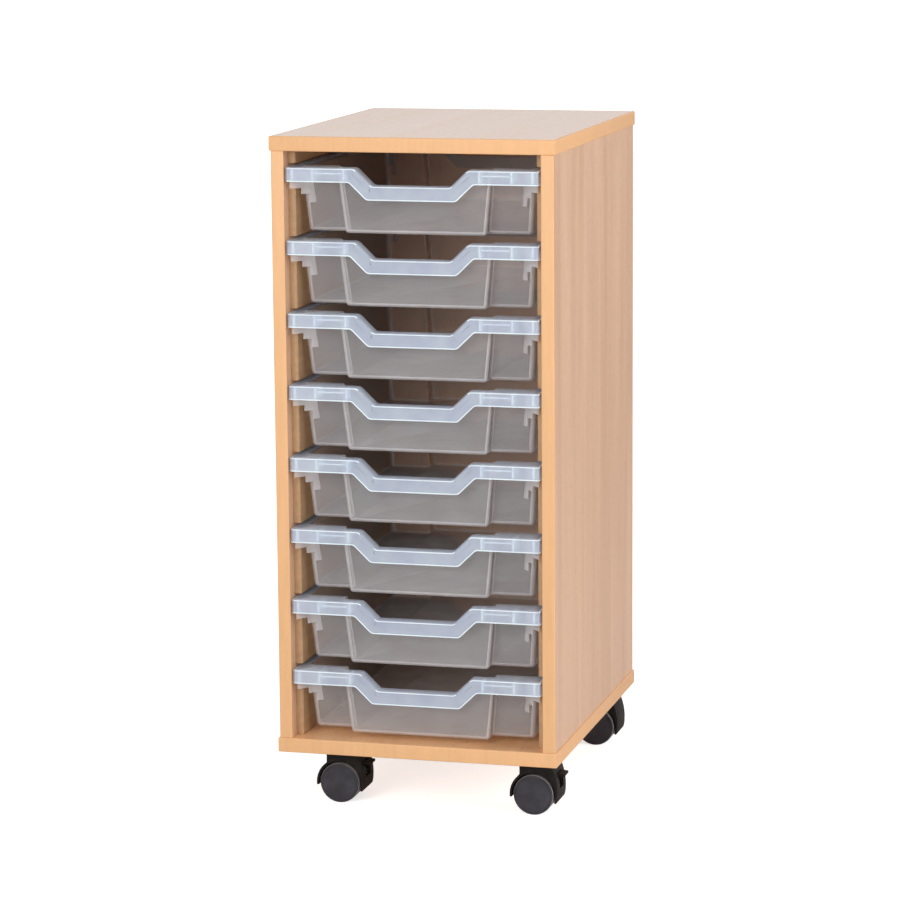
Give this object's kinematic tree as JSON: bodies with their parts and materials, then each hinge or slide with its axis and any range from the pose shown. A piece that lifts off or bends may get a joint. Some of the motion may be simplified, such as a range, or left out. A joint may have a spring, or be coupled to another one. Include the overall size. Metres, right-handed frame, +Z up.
{
  "type": "tray storage unit",
  "caption": "Mobile open-fronted cabinet of laminated board on twin-wheel castors, holding sliding translucent trays with dipped handles at both ends.",
  "frame": {"origin": "on the floor, under the middle of the cabinet", "axes": "+X to the right seen from the open front, +Y to the back, +Z up; the open front faces -Y"},
  "size_m": [0.352, 0.45, 0.826],
  "materials": {
    "laminated_board": "satin",
    "edging": "satin",
    "runner_board": "matte",
    "tray_plastic": "frosted",
    "castor_housing": "matte",
    "castor_wheel": "satin",
    "steel": "brushed",
    "insert_steel": "plated",
    "tongue_wood": "raw"
  },
  "bodies": {
    "cabinet": {"back_board": "laminated_board", "base_board": "laminated_board", "base_edging": "edging", "carcass_tongues": "tongue_wood", "castor_inserts": "insert_steel", "front_left_stem": "steel", "front_right_stem": "steel", "left_runner_1": "runner_board", "left_runner_2": "runner_board", "left_runner_3": "runner_board", "left_runner_4": "runner_board", "left_runner_5": "runner_board", "left_runner_6": "runner_board", "left_runner_7": "runner_board", "left_runner_8": "runner_board", "left_runner_9": "runner_board", "left_side_board": "laminated_board", "left_side_edging": "edging", "rear_left_stem": "steel", "rear_right_stem": "steel", "right_runner_1": "runner_board", "right_runner_2": "runner_board", "right_runner_3": "runner_board", "right_runner_4": "runner_board", "right_runner_5": "runner_board", "right_runner_6": "runner_board", "right_runner_7": "runner_board", "right_runner_8": "runner_board", "right_runner_9": "runner_board", "right_side_board": "laminated_board", "right_side_edging": "edging", "top_board": "laminated_board", "top_edging": "edging"},
    "tray_1_body": {"tray_1": "tray_plastic"},
    "tray_2_body": {"tray_2": "tray_plastic"},
    "tray_3_body": {"tray_3": "tray_plastic"},
    "tray_4_body": {"tray_4": "tray_plastic"},
    "tray_5_body": {"tray_5": "tray_plastic"},
    "tray_6_body": {"tray_6": "tray_plastic"},
    "tray_7_body": {"tray_7": "tray_plastic"},
    "tray_8_body": {"tray_8": "tray_plastic"},
    "front_left_swivel": {"front_left_hood": "castor_housing", "front_left_axle": "steel"},
    "front_left_wheel_front_body": {"front_left_wheel_front": "castor_wheel"},
    "front_left_wheel_back_body": {"front_left_wheel_back": "castor_wheel"},
    "front_left_brake": {"front_left_brake_lever": "castor_housing"},
    "front_right_swivel": {"front_right_hood": "castor_housing", "front_right_axle": "steel"},
    "front_right_wheel_front_body": {"front_right_wheel_front": "castor_wheel"},
    "front_right_wheel_back_body": {"front_right_wheel_back": "castor_wheel"},
    "front_right_brake": {"front_right_brake_lever": "castor_housing"},
    "rear_left_swivel": {"rear_left_hood": "castor_housing", "rear_left_axle": "steel"},
    "rear_left_wheel_front_body": {"rear_left_wheel_front": "castor_wheel"},
    "rear_left_wheel_back_body": {"rear_left_wheel_back": "castor_wheel"},
    "rear_right_swivel": {"rear_right_hood": "castor_housing", "rear_right_axle": "steel"},
    "rear_right_wheel_front_body": {"rear_right_wheel_front": "castor_wheel"},
    "rear_right_wheel_back_body": {"rear_right_wheel_back": "castor_wheel"}
  },
  "joints": [
    {"name": "tray_1_slide", "type": "slide", "parent": "cabinet", "child": "tray_1_body", "axis": [0, -1, 0], "range_m": [0, 0.43]},
    {"name": "tray_2_slide", "type": "slide", "parent": "cabinet", "child": "tray_2_body", "axis": [0, -1, 0], "range_m": [0, 0.43]},
    {"name": "tray_3_slide", "type": "slide", "parent": "cabinet", "child": "tray_3_body", "axis": [0, -1, 0], "range_m": [0, 0.43]},
    {"name": "tray_4_slide", "type": "slide", "parent": "cabinet", "child": "tray_4_body", "axis": [0, -1, 0], "range_m": [0, 0.43]},
    {"name": "tray_5_slide", "type": "slide", "parent": "cabinet", "child": "tray_5_body", "axis": [0, -1, 0], "range_m": [0, 0.43]},
    {"name": "tray_6_slide", "type": "slide", "parent": "cabinet", "child": "tray_6_body", "axis": [0, -1, 0], "range_m": [0, 0.43]},
    {"name": "tray_7_slide", "type": "slide", "parent": "cabinet", "child": "tray_7_body", "axis": [0, -1, 0], "range_m": [0, 0.43]},
    {"name": "tray_8_slide", "type": "slide", "parent": "cabinet", "child": "tray_8_body", "axis": [0, -1, 0], "range_m": [0, 0.43]},
    {"name": "front_left_castor_swivel", "type": "hinge", "parent": "cabinet", "child": "front_left_swivel", "pos_m": [-0.123, -0.172, 0.05], "axis": [0, 0, 1], "continuous": true},
    {"name": "front_left_wheel_front_roll", "type": "hinge", "parent": "front_left_swivel", "child": "front_left_wheel_front_body", "pos_m": [-0.1065, -0.172, 0.025], "axis": [0, 1, 0], "continuous": true},
    {"name": "front_left_wheel_back_roll", "type": "hinge", "parent": "front_left_swivel", "child": "front_left_wheel_back_body", "pos_m": [-0.1065, -0.172, 0.025], "axis": [0, 1, 0], "continuous": true},
    {"name": "front_left_brake_press", "type": "hinge", "parent": "front_left_swivel", "child": "front_left_brake", "pos_m": [-0.08722, -0.172, 0.04798], "axis": [0, 1, 0], "range_deg": [0, 20]},
    {"name": "front_right_castor_swivel", "type": "hinge", "parent": "cabinet", "child": "front_right_swivel", "pos_m": [0.123, -0.172, 0.05], "axis": [0, 0, 1], "continuous": true},
    {"name": "front_right_wheel_front_roll", "type": "hinge", "parent": "front_right_swivel", "child": "front_right_wheel_front_body", "pos_m": [0.1395, -0.172, 0.025], "axis": [0, 1, 0], "continuous": true},
    {"name": "front_right_wheel_back_roll", "type": "hinge", "parent": "front_right_swivel", "child": "front_right_wheel_back_body", "pos_m": [0.1395, -0.172, 0.025], "axis": [0, 1, 0], "continuous": true},
    {"name": "front_right_brake_press", "type": "hinge", "parent": "front_right_swivel", "child": "front_right_brake", "pos_m": [0.15878, -0.172, 0.04798], "axis": [0, 1, 0], "range_deg": [0, 20]},
    {"name": "rear_left_castor_swivel", "type": "hinge", "parent": "cabinet", "child": "rear_left_swivel", "pos_m": [-0.123, 0.172, 0.05], "axis": [0, 0, 1], "continuous": true},
    {"name": "rear_left_wheel_front_roll", "type": "hinge", "parent": "rear_left_swivel", "child": "rear_left_wheel_front_body", "pos_m": [-0.1065, 0.172, 0.025], "axis": [0, 1, 0], "continuous": true},
    {"name": "rear_left_wheel_back_roll", "type": "hinge", "parent": "rear_left_swivel", "child": "rear_left_wheel_back_body", "pos_m": [-0.1065, 0.172, 0.025], "axis": [0, 1, 0], "continuous": true},
    {"name": "rear_right_castor_swivel", "type": "hinge", "parent": "cabinet", "child": "rear_right_swivel", "pos_m": [0.123, 0.172, 0.05], "axis": [0, 0, 1], "continuous": true},
    {"name": "rear_right_wheel_front_roll", "type": "hinge", "parent": "rear_right_swivel", "child": "rear_right_wheel_front_body", "pos_m": [0.1395, 0.172, 0.025], "axis": [0, 1, 0], "continuous": true},
    {"name": "rear_right_wheel_back_roll", "type": "hinge", "parent": "rear_right_swivel", "child": "rear_right_wheel_back_body", "pos_m": [0.1395, 0.172, 0.025], "axis": [0, 1, 0], "continuous": true}
  ]
}
